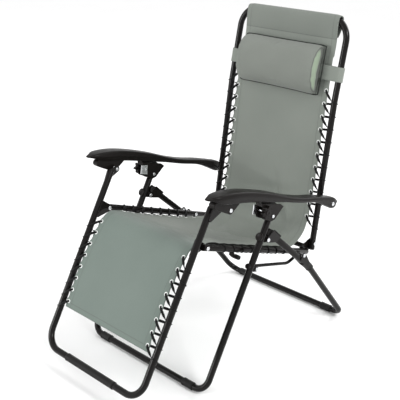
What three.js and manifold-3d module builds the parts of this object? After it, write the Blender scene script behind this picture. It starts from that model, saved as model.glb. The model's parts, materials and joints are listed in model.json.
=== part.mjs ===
// Zero gravity recliner: a folding camp lounger. Millimetres, +Z up, the sitter faces -Y.
// Left is the sitter's left, +X. Side-view points are written [y, z].
import * as THREE from 'three';
import { mergeVertices } from 'three/addons/utils/BufferGeometryUtils.js';
import { ConvexGeometry } from 'three/addons/geometries/ConvexGeometry.js';
import Module from 'manifold-3d';

const wasm = await Module();
wasm.setup();

// ---- driving dimensions -------------------------------------------------
const SHIFT_Y = 24;          // puts the origin under the middle of the footprint
const TUBE_R = 11;           // main steel tube, 22 mm across
const TUBE_BORE = 9.8;       // its 1.2 mm wall
const LEG_X = 286;           // centre planes of the leg tubes
const FRAME_X = 240;         // centre planes of the seat, back and foot tubes
const ARM_IN = 260, ARM_OUT = 312;   // armrest sides
const LINK_X = 264;          // brace between the legs
const LINK_R = 5.5;
const SLING_HALF = 211;      // half width of the fabric
const EYELET_X = 201;        // where the eyelets sit
const SLING_T = 2.4;
const CORD_R = 2.1;
const RIVET_R = 3.5, HOLE_R = 3.8;
const FLOOR_Z = 13.5;        // centre of the floor bars
const KNEE_R = 70;           // bend radius part way along a tube
const GAP = 0.3;             // air between touching parts

// hinge points, side view
const A = [-226, 499];       // seat to foot frame
const B = [-167, 620];       // foot frame to armrest
const C = [345, 501];        // armrest to backrest
const D = [319, 341];        // seat to backrest
const P1 = [3, 471];         // front leg to rear leg
const P2 = [-46, 382];       // front leg to brace
const P3 = [196, 352];       // rear leg to seat
const T0 = [22, 549];        // front leg to armrest slide
const KNOB = [-20, 577];     // clamp knob

// tube centre lines, side view
const LEG_TOP = [38, 577], FRONT_FLOOR = [-276, FLOOR_Z];
const REAR_TOP = [22, 487], REAR_KNEE = [240, 293], REAR_FLOOR = [466, FLOOR_Z];
const RAIL_FRONT = [-238, 503.2], RAIL_REAR = [286, 319.3];
const BACK_FOOT = [315, 318], BACK_BEND = [400, 845], BACK_TOP = [460, 1113];
const FOOT_TOP = [-201, 627], FOOT_BAR = [-514, 75];

const BLACK = { color: 0x1d1b1a, roughness: 0.38, metalness: 0.35 };
const PLASTIC = { color: 0x201e1d, roughness: 0.6, metalness: 0.0 };
const ZINC = { color: 0xb9bcc0, roughness: 0.3, metalness: 0.9 };
const FABRIC = { color: 0x8b9488, roughness: 0.9, metalness: 0.0 };
const ELASTIC = { color: 0x121212, roughness: 0.8, metalness: 0.0 };

const chair = new THREE.Group();
chair.name = 'zero_gravity_recliner';

function add(name, geometry, look) {
  const mesh = new THREE.Mesh(geometry, new THREE.MeshStandardMaterial(look));
  mesh.name = name;
  chair.add(mesh);
}
function onBothSides(build) {
  build(1, 'left');
  build(-1, 'right');
}

// ---- small vector helpers in the side view ------------------------------
const at = (x, p) => new THREE.Vector3(x, p[0] + SHIFT_Y, p[1]);
const plus = (p, q, k = 1) => [p[0] + q[0] * k, p[1] + q[1] * k];
const unit = (p, q) => {
  const d = Math.hypot(q[0] - p[0], q[1] - p[1]);
  return [(q[0] - p[0]) / d, (q[1] - p[1]) / d];
};
const left = (u) => [-u[1], u[0]];

// ---- solids --------------------------------------------------------------
function solid(geometry) {
  const g = geometry.clone();
  g.deleteAttribute('normal');
  g.deleteAttribute('uv');
  const m = mergeVertices(g, 1e-4);
  return new wasm.Manifold(new wasm.Mesh({
    numProp: 3,
    vertProperties: new Float32Array(m.attributes.position.array),
    triVerts: new Uint32Array(m.index.array),
  }));
}
function geometryOf(manifold) {
  const m = manifold.getMesh();
  const g = new THREE.BufferGeometry();
  g.setAttribute('position', new THREE.BufferAttribute(new Float32Array(m.vertProperties), 3));
  g.setIndex(new THREE.BufferAttribute(new Uint32Array(m.triVerts), 1));
  g.computeVertexNormals();
  return g;
}
function join(...parts) {
  return geometryOf(parts.map(solid).reduce((a, b) => a.add(b)));
}
function cut(part, ...tools) {
  return geometryOf(tools.map(solid).reduce((a, b) => a.subtract(b), solid(part)));
}

// a path through given points, used as the spine of a tube: one ring at each point
class Spine extends THREE.Curve {
  constructor(points) { super(); this.points = points; }
  index(u) { return Math.round(u * (this.points.length - 1)); }
  getPoint(u) { return this.points[this.index(u)].clone(); }
  getPointAt(u) { return this.getPoint(u); }
  getSpacedPoints() { return this.points.map((p) => p.clone()); }
  getTangentAt(u) {
    const i = this.index(u), n = this.points.length;
    const t = new THREE.Vector3();
    for (const k of [i, i + 1]) {
      if (k < 1 || k >= n) continue;
      t.add(this.points[k].clone().sub(this.points[k - 1]).normalize());
    }
    return t.normalize();
  }
}
// replaces each inner corner of a polyline by an arc
function rounded(points, radius, steps = 5) {
  const out = [points[0]];
  for (let i = 1; i < points.length - 1; i++) {
    const p = points[i];
    const a = points[i - 1].clone().sub(p).normalize();
    const b = points[i + 1].clone().sub(p).normalize();
    const half = Math.acos(a.dot(b)) / 2;
    const r = Array.isArray(radius) ? radius[i - 1] : radius;
    const back = r / Math.tan(half);
    const middle = a.clone().add(b).normalize();
    const centre = p.clone().addScaledVector(middle, r / Math.sin(half));
    const from = p.clone().addScaledVector(a, back).sub(centre);
    const turn = Math.PI - 2 * half;
    const axis = a.clone().cross(b).normalize().negate();
    const n = Math.max(2, Math.ceil(steps * turn / (Math.PI / 2)));
    for (let k = 0; k <= n; k++) {
      out.push(from.clone().applyAxisAngle(axis, turn * k / n).add(centre));
    }
  }
  out.push(points[points.length - 1]);
  return out;
}
function circle(r, n, phase = 0) {
  return Array.from({ length: n }, (_, i) => {
    const t = 2 * Math.PI * (i + phase) / n;
    return new THREE.Vector2(r * Math.cos(t), r * Math.sin(t));
  });
}
function sweep(points, r, bore = 0, sides = 12, boreSides = 8, phase = 0) {
  const shape = new THREE.Shape(circle(r, sides, phase));
  if (bore) shape.holes.push(new THREE.Path(circle(bore, boreSides, phase)));
  return new THREE.ExtrudeGeometry(shape, {
    steps: points.length - 1, extrudePath: new Spine(points), bevelEnabled: false,
  });
}
// a sleeve that clears the round tube inside it; its flats lie flat on the floor
const sleeve = (points, r) =>
  sweep(points, r / Math.cos(Math.PI / 12), (TUBE_R + GAP) / Math.cos(Math.PI / 12), 12, 12, 0.5);
const SIDE_TO_WORLD = new THREE.Matrix4().makeBasis(
  new THREE.Vector3(0, 1, 0), new THREE.Vector3(0, 0, 1), new THREE.Vector3(1, 0, 0));
// a plate cut from a side-view outline, from x0 to x1
function plate(outline, x0, x1, holes = [], holeR = HOLE_R) {
  const shape = new THREE.Shape(outline.map((p) => new THREE.Vector2(p[0] + SHIFT_Y, p[1])));
  for (const h of holes) {
    shape.holes.push(new THREE.Path(circle(holeR, 12).map(
      (c) => new THREE.Vector2(c.x + h[0] + SHIFT_Y, c.y + h[1]))));
  }
  const [lo, hi] = [Math.min(x0, x1), Math.max(x0, x1)];
  const g = new THREE.ExtrudeGeometry(shape, { depth: hi - lo, bevelEnabled: false });
  return g.applyMatrix4(SIDE_TO_WORLD).translate(lo, 0, 0);
}
// the outline around two or more discs: a link plate's shape
function hull(discs, n = 14) {
  const pts = discs.flatMap(([p, r]) => circle(r, n, 0.5).map((c) => [p[0] + c.x, p[1] + c.y]));
  pts.sort((a, b) => a[0] - b[0] || a[1] - b[1]);
  const cross = (o, a, b) => (a[0] - o[0]) * (b[1] - o[1]) - (a[1] - o[1]) * (b[0] - o[0]);
  const chain = (list) => {
    const out = [];
    for (const p of list) {
      while (out.length > 1 && cross(out[out.length - 2], out[out.length - 1], p) <= 1e-6) out.pop();
      out.push(p);
    }
    out.pop();
    return out;
  };
  return [...chain(pts), ...chain([...pts].reverse())];
}
// a rod lying along X, from x0 to x1, through side-view point p
function rod(p, r, x0, x1, n = 12) {
  const g = new THREE.CylinderGeometry(r, r, Math.abs(x1 - x0), n);
  return g.rotateZ(Math.PI / 2).translate((x0 + x1) / 2, p[0] + SHIFT_Y, p[1]);
}
// a headed rivet along X
function rivet(p, x0, x1, headR = 7) {
  const [lo, hi] = [Math.min(x0, x1), Math.max(x0, x1)];
  const h = 2.6, v = (r, y) => new THREE.Vector2(r, y);
  const profile = [v(0, lo), v(headR * 0.6, lo), v(headR, lo + 1.6), v(headR, lo + h),
    v(RIVET_R, lo + h), v(RIVET_R, hi - h), v(headR, hi - h), v(headR, hi - 1.6),
    v(headR * 0.6, hi), v(0, hi)];
  const g = new THREE.LatheGeometry(profile, 12);
  return g.rotateZ(-Math.PI / 2).translate(0, p[0] + SHIFT_Y, p[1]);
}
const hole = (p, x0, x1) => rod(p, HOLE_R, x0, x1);

// a ribbon: a side-view line given thickness, spread across the chair
function ribbon(line, halfWidth, t = SLING_T) {
  const normal = (i) => {
    const a = line[Math.max(0, i - 1)], b = line[Math.min(line.length - 1, i + 1)];
    return left(unit(a, b));
  };
  const front = line.map((p, i) => plus(p, normal(i), t / 2));
  const rear = line.map((p, i) => plus(p, normal(i), -t / 2)).reverse();
  return plate([...front, ...rear], -halfWidth, halfWidth);
}
// the point a given distance along a line, with its direction
function along(line, s) {
  for (let i = 1; i < line.length; i++) {
    const d = Math.hypot(line[i][0] - line[i - 1][0], line[i][1] - line[i - 1][1]);
    if (s <= d || i === line.length - 1) {
      const u = unit(line[i - 1], line[i]);
      return { p: plus(line[i - 1], u, s), u };
    }
    s -= d;
  }
}
// smooth side-view curve through a few points
function smooth(points, n) {
  const c = new THREE.CatmullRomCurve3(points.map((p) => new THREE.Vector3(0, p[0], p[1])),
    false, 'centripetal');
  return c.getSpacedPoints(n).map((v) => [v.y, v.z]);
}

// ---- leg frames -----------------------------------------------------------
const legU = unit(FRONT_FLOOR, LEG_TOP);            // up the front leg
const legBack = [legU[1], -legU[0]];                // square to it, towards the rear
const legPoint = (z) => plus(FRONT_FLOOR, legU, (z - FLOOR_Z) / legU[1]);
const boltAt = (p) => {                             // foot of a hinge on the leg's centre line
  const s = (p[0] - FRONT_FLOOR[0]) * legU[0] + (p[1] - FRONT_FLOOR[1]) * legU[1];
  return plus(FRONT_FLOOR, legU, s);
};
// a rod through the front leg, square to it, from distance d0 in front to d1 behind
function crossRod(x, p, r, d0, d1, n = 12) {
  const g = new THREE.CylinderGeometry(r, r, d1 - d0, n);
  g.rotateX(Math.atan2(legBack[1], legBack[0]));
  const c = plus(p, legBack, (d0 + d1) / 2);
  return g.translate(x, c[0] + SHIFT_Y, c[1]);
}
function uFrame(top, bottom, x, r, middle = []) {
  const side = [top, ...middle, bottom];
  const pts = [...side.map((p) => at(x, p)), ...side.reverse().map((p) => at(-x, p))];
  const radii = [...middle.map(() => KNEE_R), r, r, ...middle.map(() => KNEE_R)];
  return sweep(rounded(pts, radii), TUBE_R, TUBE_BORE);
}
{
  const bores = [];
  for (const x of [LEG_X, -LEG_X]) {
    bores.push(crossRod(x, boltAt(P1), 4.4, -20, 20), crossRod(x, boltAt(P2), 4.4, -20, 20));
    bores.push(hole(T0, x - 15, x + 15));
  }
  add('front_leg_frame', cut(uFrame(LEG_TOP, FRONT_FLOOR, LEG_X, 45), ...bores), BLACK);
  add('rear_leg_frame', uFrame(REAR_TOP, REAR_FLOOR, LEG_X, 45, [REAR_KNEE]), BLACK);
}
// rubber feet on the floor bars
onBothSides((s, side) => {
  const foot = (p, x) => sleeve([at(s * (x - 23), p), at(s * (x + 23), p)], FLOOR_Z);
  add(`front_floor_sleeve_${side}`, foot(FRONT_FLOOR, 212), PLASTIC);
  add(`rear_floor_sleeve_${side}`, foot(REAR_FLOOR, 212), PLASTIC);
});

// hinge blocks bolted through the front leg: a lug behind, a round cap in front
function legLug(p, x, capR, capLength) {
  const c = boltAt(p);
  const face = plus(c, legBack, TUBE_R + GAP);
  const lug = hull([[plus(face, legU, 11), 1.5], [plus(face, legU, -11), 1.5], [p, 8.5]], 12);
  const keep = plate([[-400, 0], [400, 0], [400, 800], [-400, 800]], x - 20, x + 20);
  const trimmed = solid(plate(lug, x - 9.5, x + 9.5))
    .subtract(solid(crossSlab(x, c)))
    .intersect(solid(keep));
  return [geometryOf(trimmed),
    crossRod(x, c, 4, -TUBE_R - 5, TUBE_R + 3),
    crossRod(x, c, capR, -TUBE_R - GAP - capLength, -TUBE_R - GAP, 14)];
}
// a slab along the leg that trims a lug flush with the tube
function crossSlab(x, c) {
  const q = (a, b) => plus(plus(c, legU, a), legBack, b);
  const d = TUBE_R + GAP;
  return plate([q(-40, -d), q(40, -d), q(40, d), q(-40, d)], x - 30, x + 30);
}
onBothSides((s, side) => {
  const x = s * LEG_X;
  add(`leg_hinge_block_${side}`,
    cut(join(...legLug(P1, x, 14, 6)), hole(P1, x - 15, x + 15)), PLASTIC);
  const pin = [rod(P2, RIVET_R, x, s * 258), rod(P2, 6.5, s * 257.5, s * 260.4)];
  add(`brace_hinge_block_${side}`, join(...legLug(P2, x, 9, 10), ...pin), PLASTIC);
});

// forked end plates that hang the rear leg on the hinge blocks
const rearU = unit(REAR_TOP, REAR_KNEE);
onBothSides((s, side) => {
  const x = s * LEG_X, q = (a, b) => plus(plus(REAR_TOP, rearU, a), left(rearU), b);
  const outline = hull([[P1, 9], [q(4, 12), 4], [q(46, 12), 3], [q(40, -11), 2]], 10);
  const web = [q(6, 11.6), q(46, 11.6), q(46, 14.6), q(6, 14.6)];
  const cheeks = [-1, 1].map((k) => plate(outline, x + k * 11.4, x + k * 14.2, [P1]));
  add(`rear_leg_fork_${side}`, join(...cheeks, plate(web, x - 14.2, x + 14.2)), BLACK);
  add(`leg_hinge_rivet_${side}`, rivet(P1, x - 17.4, x + 17.4), ZINC);
});
// knee joint: sleeve round the bend and the plates that carry the seat
onBothSides((s, side) => {
  const x = s * LEG_X;
  const lowU = unit(REAR_KNEE, REAR_FLOOR);
  const spine = rounded([at(x, plus(REAR_KNEE, rearU, -46)), at(x, REAR_KNEE),
    at(x, plus(REAR_KNEE, lowU, 12))], KNEE_R);
  const rise = plus(P3, left(rearU), -15);
  const outline = hull([[P3, 9], [plus(rise, rearU, 2), 8], [plus(REAR_KNEE, rearU, -30), 11]]);
  const cheeks = [-1, 1].map((k) => plate(outline, x + k * 12.2, x + k * 15, [P3]));
  add(`rear_leg_knee_${side}`, join(sleeve(spine, 14.4), ...cheeks), PLASTIC);
});

// ---- braces between the legs ------------------------------------------------
onBothSides((s, side) => {
  const x = s * LINK_X, bend = [150, 327], tip = [182, 336];
  const u = unit(P2, bend);
  const bar = sweep(rounded([at(x, plus(P2, u, 15)), at(x, bend), at(x, tip)], 40, 8), LINK_R, 0, 10);
  const eye = plate(hull([[P2, 9], [plus(P2, u, 18), 5]]), x - 3, x + 3);
  const h = (dy, dz) => [P3[0] + dy, P3[1] + dz];
  const hook = plate([h(-22, -20), h(9, -11), h(9.5, 3), h(5, 3), h(5, -4.6), h(-6.5, -5),
    h(-7, 2), h(-11, 2), h(-12, -7)], x - 3, x + 3);
  add(`brace_${side}`, cut(join(bar, eye, hook), hole(P2, x - 8, x + 8)), BLACK);
});

// ---- seat ---------------------------------------------------------------------
const railU = unit(RAIL_FRONT, RAIL_REAR);
onBothSides((s, side) => {
  const x = s * FRAME_X;
  const rail = sweep([at(x, RAIL_FRONT), at(x, RAIL_REAR)], TUBE_R, TUBE_BORE);
  add(`seat_rail_${side}`, cut(rail, hole(A, x - 15, x + 15), hole(P3, x - 15, x + 15)), BLACK);
  add(`seat_pivot_rivet_${side}`, rivet(P3, s * 225.6, s * 304.4), ZINC);
  // rubber stop below the rail
  const q = (a, b) => plus(plus(RAIL_FRONT, railU, a), left(railU), b);
  const stop = q(176, -27.5);
  const lug = plate([q(135, -11.4), q(135, -21), q(164, -32), q(176, -33), q(180, -25),
    q(156, -20), q(153, -11.4)], x - 3, x + 3);
  add(`rail_stop_${side}`, join(lug, rod(stop, 7.5, x - 11, x + 11)), PLASTIC);
});
{
  const ear = hull([[D, 14], [[306, 322], 13], [[262, 328], 8]]);
  const middle = [303, 326];
  const ears = [1, -1].map((s) => plate(ear, s * 225, s * 228.7, [D]));
  add('seat_rear_bracket', cut(join(rod(middle, 9, -226, 226), ...ears), rod(middle, 7.6, -240, 240)),
    BLACK);
}

// ---- backrest --------------------------------------------------------------------
const backLow = unit(BACK_FOOT, BACK_BEND), backHigh = unit(BACK_BEND, BACK_TOP);
{
  const bores = [FRAME_X, -FRAME_X].flatMap((x) => [hole(D, x - 15, x + 15), hole(C, x - 15, x + 15)]);
  add('back_frame', cut(uFrame(BACK_FOOT, BACK_TOP, FRAME_X, 72, [BACK_BEND]), ...bores), BLACK);
}
onBothSides((s, side) => {
  add(`back_hinge_rivet_${side}`, rivet(D, s * 221.6, s * 254.4), ZINC);
  add(`armrest_rear_rivet_${side}`, rivet(C, s * 225.6, s * 303.4), ZINC);
});

// ---- foot frame ---------------------------------------------------------------------
const footU = unit(FOOT_TOP, FOOT_BAR);
const footPoint = (d, b) => plus(plus(FOOT_TOP, footU, d), left(footU), b);
{
  // lugs for the armrest pivots are welded to the outside of the tube
  const outline = hull([[B, 11], [footPoint(8, 3), 8], [footPoint(40, 3), 5]]);
  const lugs = [1, -1].flatMap((s) => [plate(outline, s * 250.2, s * 255),
    rod(B, 6, s * 247.4, s * 252)]);
  add('foot_frame', join(uFrame(FOOT_TOP, FOOT_BAR, FRAME_X, 62), ...lugs), BLACK);
}
add('foot_bar_sleeve', sleeve([at(-121, FOOT_BAR), at(121, FOOT_BAR)], 13.2), PLASTIC);
onBothSides((s, side) => {
  const gusset = hull([[A, 11], [footPoint(112, 3), 5], [footPoint(162, 3), 5]]);
  add(`foot_gusset_${side}`, plate(gusset, s * 225, s * 228.7, [A]), BLACK);
  add(`foot_hinge_rivet_${side}`, rivet(A, s * 221.6, s * 254.4), ZINC);
});

// ---- armrests ---------------------------------------------------------------------------
const armTop = smooth([[-262, 681], [-215, 689], [-160, 683], [-100, 669], [0, 637], [105, 595],
  [180, 571], [250, 554], [320, 534], [358, 516]], 22);
const armEnd = [[366, 503], [362, 490], [348, 484]];
const armUnder = smooth([[320, 497], [247, 532], [160, 556], [75, 582], [-20, 608], [-119, 634],
  [-200, 650], [-250, 664]], 12);
const armPlan = (s) => {
  const outer = smooth([[-262, 292], [-238, 309], [-180, 314], [-60, 312], [100, 310], [240, 308],
    [330, 302], [368, 294]], 14);
  const inner = smooth([[368, 270], [330, 262], [240, 259], [100, 259], [-60, 259], [-180, 258],
    [-238, 262], [-262, 274]], 14);
  const shape = new THREE.Shape([...outer, ...inner].map(
    (p) => new THREE.Vector2(s * p[1], p[0] + SHIFT_Y)));
  return new THREE.ExtrudeGeometry(shape, { depth: 400, bevelEnabled: false }).translate(0, 0, 400);
};
function armBody() {
  const outline = [...armTop, ...armEnd, ...armUnder].map(
    (p) => new THREE.Vector2(p[0] + SHIFT_Y, p[1]));
  const g = new THREE.ExtrudeGeometry(new THREE.Shape(outline), {
    depth: 46, bevelEnabled: true, bevelThickness: 6, bevelSize: 6, bevelOffset: -6, bevelSegments: 2,
  });
  return g.applyMatrix4(SIDE_TO_WORLD);
}
const slotU = unit([-119, 634], [247, 532]);
onBothSides((s, side) => {
  const x0 = s > 0 ? ARM_IN + 4 : -ARM_OUT + 4;
  const body = solid(armBody().translate(x0, 0, 0)).intersect(solid(armPlan(s)));
  const ear = plate(hull([[B, 13], [[-218, 660], 12], [[-128, 648], 12]]), s * 266, s * 291);
  // channel under the armrest that the slide runs in
  const q = (a, b) => plus(plus([-119, 634], slotU, a), left(slotU), b);
  const channel = plate([q(-45, -20), q(305, -20), q(305, 9), q(-45, 9)], s * 277, s * 295);
  const arm = body.add(solid(ear)).subtract(solid(channel))
    .subtract(solid(hole(B, s * 250, s * 320))).subtract(solid(hole(C, s * 250, s * 320)));
  add(`armrest_${side}`, geometryOf(arm), PLASTIC);
  add(`armrest_front_rivet_${side}`, rivet(B, s * 263, s * 294), ZINC);
});

// slide on top of each front leg: two cheeks, a bridge under the armrest and a clamp knob
onBothSides((s, side) => {
  const x = s * LEG_X;
  const q = (a, b) => plus(plus([-119, 634], slotU, a), left(slotU), b);
  const outline = [q(92, -3), q(184, -3), q(203, -11), [36, 539], [16, 533], [-24, 551], [-32, 560]];
  const cheeks = [-1, 1].map((k) => plate(outline, x + k * 11.4, x + k * 14.4, [T0, KNOB]));
  const bridge = plate([q(94, -9), q(124, -9), q(124, 5), q(94, 5)], x - 7, x + 7);
  const web = plate([q(94, -14), q(124, -14), q(124, -4), q(94, -4)], x - 12, x + 12);
  add(`armrest_slide_${side}`, join(...cheeks, bridge, web), PLASTIC);
  add(`slide_rivet_${side}`, rivet(T0, x - 17.6, x + 17.6), ZINC);
  // star knob outside, its bolt through both cheeks
  const star = Array.from({ length: 24 }, (_, i) => {
    const t = 2 * Math.PI * i / 24, r = 17.5 + 4.5 * Math.cos(6 * t);
    return [KNOB[0] + r * Math.cos(t), KNOB[1] + r * Math.sin(t)];
  });
  const knob = join(plate(star, x + s * 14.8, x + s * 27), rod(KNOB, 9, x + s * 24, x + s * 30),
    rod(KNOB, RIVET_R, x + s * 20, x - s * 21));
  add(`clamp_knob_${side}`, knob, PLASTIC);
  const washer = [[-44, 566], [-14, 557], [-10, 592], [-38, 598]];
  add(`clamp_plate_${side}`, plate(washer, x - s * 14.8, x - s * 17.8, [KNOB]), ZINC);
});

// ---- fabric and lacing ---------------------------------------------------------------------
// side view of the sling, in three lengths that end at the hinges
const backN = left(backLow), highN = left(backHigh);
const backLine = smooth([[326, 424], [333, 471], [349, 545], [368, 640],
  plus([380, 721], backN, 3), plus(BACK_BEND, backN, 3), plus(plus(BACK_BEND, backHigh, 120), highN, 3),
  plus(BACK_TOP, backHigh, -62)], 20);
const seatLine = smooth([[318, 405], [311, 385], [290, 366], [255, 351], [224, 345], [100, 377],
  [29, 401], [-60, 432], [-140, 462], [-206, 489]], 20);
const footLine = smooth([[-238, 499], [-255, 493], [-272, 482], [-300, 449], [-350, 384],
  [-393, 314], [-415, 271], [-446, 206]], 14);
// eyelets: position on the sling, counted along each line
const eyelets = (line, first, pitch, count) =>
  Array.from({ length: count }, (_, i) => along(line, first + i * pitch));
const backEyelets = eyelets(backLine, 22, 44, 11);
const seatEyelets = eyelets(seatLine, 186, 45, 9);
const footEyelets = eyelets(footLine, 44, 44, 8);

function punched(geometry, spots) {
  let body = solid(geometry);
  for (const { p, u } of spots) {
    for (const x of [EYELET_X, -EYELET_X]) {
      const g = new THREE.CylinderGeometry(4.8, 4.8, 14, 6);
      g.rotateX(Math.atan2(left(u)[1], left(u)[0]));
      body = body.subtract(solid(g.translate(x, p[0] + SHIFT_Y, p[1])));
    }
  }
  return body;
}
// head pocket: a fabric tunnel over the top bar
function headPocket() {
  const q = (a, b) => plus(plus(BACK_TOP, backHigh, a), highN, b);
  const loop = (r, low) => {
    const arc = Array.from({ length: 9 }, (_, i) => {
      const t = Math.PI * i / 8;
      return q(r * Math.sin(t), r * Math.cos(t));
    });
    return [q(low, 0), q(-32, r), ...arc, q(-32, -r)];
  };
  const outer = plate(loop(TUBE_R + 3, -66), -205, 205);
  return solid(outer).subtract(solid(plate(loop(TUBE_R + 0.8, -56), -230, 230)));
}
add('back_sling', geometryOf(punched(ribbon(backLine, SLING_HALF), backEyelets).add(headPocket())),
  FABRIC);
add('seat_sling', geometryOf(punched(ribbon(seatLine, SLING_HALF), seatEyelets)), FABRIC);
add('foot_sling', geometryOf(punched(ribbon(footLine, SLING_HALF), footEyelets)), FABRIC);

// elastic cord: up through each eyelet, over the tube and back underneath to the next
function lacing(spots, tube, s) {
  const wrap = TUBE_R + 4.2, pts = [];
  const onTube = (p) => {
    let best = null;
    for (let i = 1; i < tube.length; i++) {
      const u = unit(tube[i - 1], tube[i]);
      const length = Math.hypot(tube[i][0] - tube[i - 1][0], tube[i][1] - tube[i - 1][1]);
      let k = (p[0] - tube[i - 1][0]) * u[0] + (p[1] - tube[i - 1][1]) * u[1];
      k = Math.min(length, Math.max(0, k));
      const c = plus(tube[i - 1], u, k);
      const d = Math.hypot(p[0] - c[0], p[1] - c[1]);
      if (!best || d < best.d) best = { c, u, d };
    }
    return best;
  };
  spots.forEach(({ p, u }, i) => {
    const n = left(u);
    pts.push(at(s * EYELET_X, plus(p, n, -4.5)), at(s * EYELET_X, plus(p, n, 4.5)));
    const next = spots[i + 1];
    if (!next) return;
    for (let k = 0; k <= 6; k++) {
      const mid = onTube(plus(p, [next.p[0] - p[0], next.p[1] - p[1]], 0.5 + 0.06 * k));
      let front = left(mid.u);
      if (front[0] * n[0] + front[1] * n[1] < 0) front = [-front[0], -front[1]];
      const t = (90 - 35 * k) * Math.PI / 180;
      pts.push(at(s * (FRAME_X + wrap * Math.cos(t)), plus(mid.c, front, wrap * Math.sin(t))));
    }
  });
  return sweep(pts, CORD_R, 0, 4);
}
const backTube = [BACK_FOOT, BACK_BEND, BACK_TOP];
onBothSides((s, side) => {
  add(`back_lace_${side}`, lacing(backEyelets, backTube, s), ELASTIC);
  add(`seat_lace_${side}`, lacing(seatEyelets, [RAIL_FRONT, RAIL_REAR], s), ELASTIC);
  add(`foot_lace_${side}`, lacing(footEyelets, [FOOT_TOP, FOOT_BAR], s), ELASTIC);
});

// ---- head pillow and its strap -------------------------------------------------------------
{
  const centre = plus(BACK_BEND, backHigh, 96);
  const q = (a, b) => plus(plus(centre, backHigh, a), highN, b);
  const outline = [q(-84, 18), q(-87, 24), q(-82, 42), q(-64, 58), q(-34, 68), q(0, 71),
    q(34, 68), q(64, 58), q(82, 42), q(87, 24), q(84, 18)];
  const heart = q(0, 40);
  const slice = (x, k) => outline.map(
    (p) => at(x, [heart[0] + k * (p[0] - heart[0]), heart[1] + k * (p[1] - heart[1])]));
  const skin = [[174, 1], [183, 0.93], [187, 0.8]].flatMap(
    ([x, k]) => [...slice(x, k), ...slice(-x, k)]);
  add('head_pillow', new ConvexGeometry(skin), FABRIC);
  // one elastic band round both back tubes, behind the pillow
  const across = new THREE.Vector3(1, 0, 0);
  const normal = new THREE.Vector3(0, highN[0], highN[1]);
  const upward = across.clone().cross(normal);
  const band = (r) => [
    ...Array.from({ length: 9 }, (_, i) => {
      const t = -Math.PI / 2 + Math.PI * i / 8;
      return new THREE.Vector2(FRAME_X + r * Math.cos(t), r * Math.sin(t));
    }),
    ...Array.from({ length: 9 }, (_, i) => {
      const t = Math.PI / 2 + Math.PI * i / 8;
      return new THREE.Vector2(-FRAME_X + r * Math.cos(t), r * Math.sin(t));
    })];
  const ring = new THREE.Shape(band(TUBE_R + 4.4));
  ring.holes.push(new THREE.Path(band(TUBE_R + 2.2)));
  const strap = new THREE.ExtrudeGeometry(ring, { depth: 50, bevelEnabled: false });
  strap.translate(0, 0, -25).applyMatrix4(new THREE.Matrix4().makeBasis(across, normal, upward));
  const c = plus(BACK_BEND, backHigh, 92);
  add('pillow_strap', strap.translate(0, c[0] + SHIFT_Y, c[1]), FABRIC);
}

export default chair;
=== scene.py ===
"""Zero gravity recliner: the visual model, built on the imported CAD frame. Lengths are millimetres
until they reach a mesh, where MM turns them into metres. Side-view points are (y, z)."""
import json
import math
import bpy
import numpy as np
from mathutils import Matrix, Vector

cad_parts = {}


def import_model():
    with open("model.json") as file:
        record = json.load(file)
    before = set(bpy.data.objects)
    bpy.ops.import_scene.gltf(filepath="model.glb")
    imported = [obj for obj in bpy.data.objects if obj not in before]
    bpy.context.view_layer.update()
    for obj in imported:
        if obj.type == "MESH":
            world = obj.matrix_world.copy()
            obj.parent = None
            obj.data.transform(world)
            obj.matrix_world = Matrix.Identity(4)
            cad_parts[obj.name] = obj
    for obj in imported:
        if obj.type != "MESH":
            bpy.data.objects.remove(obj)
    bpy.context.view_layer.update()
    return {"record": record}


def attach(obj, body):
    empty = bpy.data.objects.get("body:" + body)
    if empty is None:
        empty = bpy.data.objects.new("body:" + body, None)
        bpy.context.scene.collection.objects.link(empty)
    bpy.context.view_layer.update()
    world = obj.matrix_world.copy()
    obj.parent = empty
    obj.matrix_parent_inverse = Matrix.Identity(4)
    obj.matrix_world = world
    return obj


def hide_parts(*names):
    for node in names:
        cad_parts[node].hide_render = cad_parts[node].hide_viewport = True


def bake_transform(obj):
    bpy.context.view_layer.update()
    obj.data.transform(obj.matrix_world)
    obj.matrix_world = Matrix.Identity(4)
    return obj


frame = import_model()
RECORD = frame["record"]
BODY = {n: b for b, nodes in RECORD["behaviour"]["bodies"].items() for n in nodes}

# ---- dimensions shared with the CAD model ----
MM = 0.001
# added to every side-view y, to set the chair over the middle of the frame
SHIFT_Y = 24.0
TUBE_R = 11.0
LEG_X, FRAME_X, LINK_X = 286.0, 240.0, 264.0
SLING_HALF, EYELET_X = 211.0, 201.0
FLOOR_Z, KNEE_R = 13.5, 70.0
# the hinges: foot, armrest front, armrest rear and back; then the legs' hinge, the brace on the front leg,
# the rear leg's knee, the armrest's slide, and the clamp knob
A, B, C, D = (-226, 499), (-167, 620), (345, 501), (319, 341)
P1, P2, P3, T0, KNOB = (3, 471), (-46, 382), (196, 352), (22, 549), (-20, 577)
# the bends and ends of each frame's tube
LEG_TOP, FRONT_FLOOR = (38, 577), (-276, FLOOR_Z)
REAR_TOP, REAR_KNEE, REAR_FLOOR = (22, 487), (240, 293), (466, FLOOR_Z)
RAIL_FRONT, RAIL_REAR = (-238, 503.2), (286, 319.3)
BACK_FOOT, BACK_BEND, BACK_TOP = (315, 318), (400, 845), (460, 1113)
FOOT_TOP, FOOT_BAR = (-201, 627), (-514, 75)
CORD_R, CORD_THIN = 4.2, 1.3
WRAP_R = TUBE_R + CORD_THIN + 0.1
EYELET_R, EYELET_WALL = 5.4, 1.6
CLOTH_HALF, CLOTH_EDGE = 0.85, 1.35
SIDES = (("left", 1), ("right", -1))


def placed(name, data):
    """A new object in the scene."""
    o = bpy.data.objects.new(name, data)
    bpy.context.scene.collection.objects.link(o)
    return o


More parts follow.
